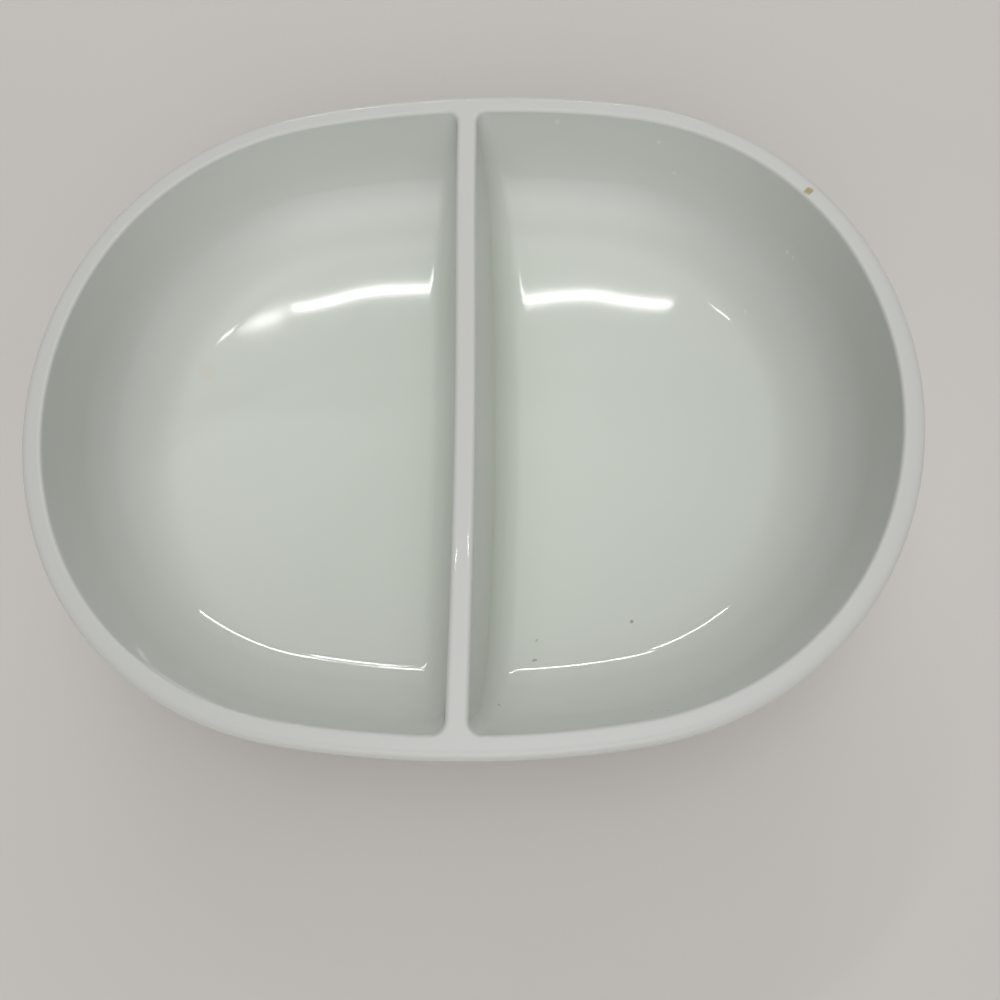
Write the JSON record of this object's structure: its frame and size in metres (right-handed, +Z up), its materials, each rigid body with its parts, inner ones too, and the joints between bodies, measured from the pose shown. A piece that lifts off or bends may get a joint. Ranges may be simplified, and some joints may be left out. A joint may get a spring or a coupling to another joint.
{
  "type": "divided serving bowl",
  "caption": "Oval glazed serving bowl with steep curved walls, a flat rounded rim, a bare foot ring and a rim-high cross wall that parts it into compartments.",
  "frame": {"origin": "middle of the foot ring's underside, on the surface that the bowl stands on", "axes": "+X along the bowl's length, across the divider; +Y along the divider; +Z up out of the bowl"},
  "size_m": [0.27, 0.212, 0.057],
  "materials": {
    "glazed_rim": "clear gloss glaze over white porcelain, thinner and a touch cooler on the rounded edges",
    "glazed_wall": "clear gloss glaze over white porcelain",
    "glazed_floor": "clear gloss glaze over white porcelain, pooled a little thicker and greener",
    "glazed_divider": "clear gloss glaze over white porcelain",
    "bare_foot": "matt, fine-grained bare porcelain where the glaze is wiped off"
  },
  "bodies": {
    "root": {"rim": "glazed_rim", "upper_wall": "glazed_wall", "lower_wall": "glazed_wall", "floor": "glazed_floor", "divider": "glazed_divider", "foot_ring": "bare_foot"}
  },
  "joints": []
}
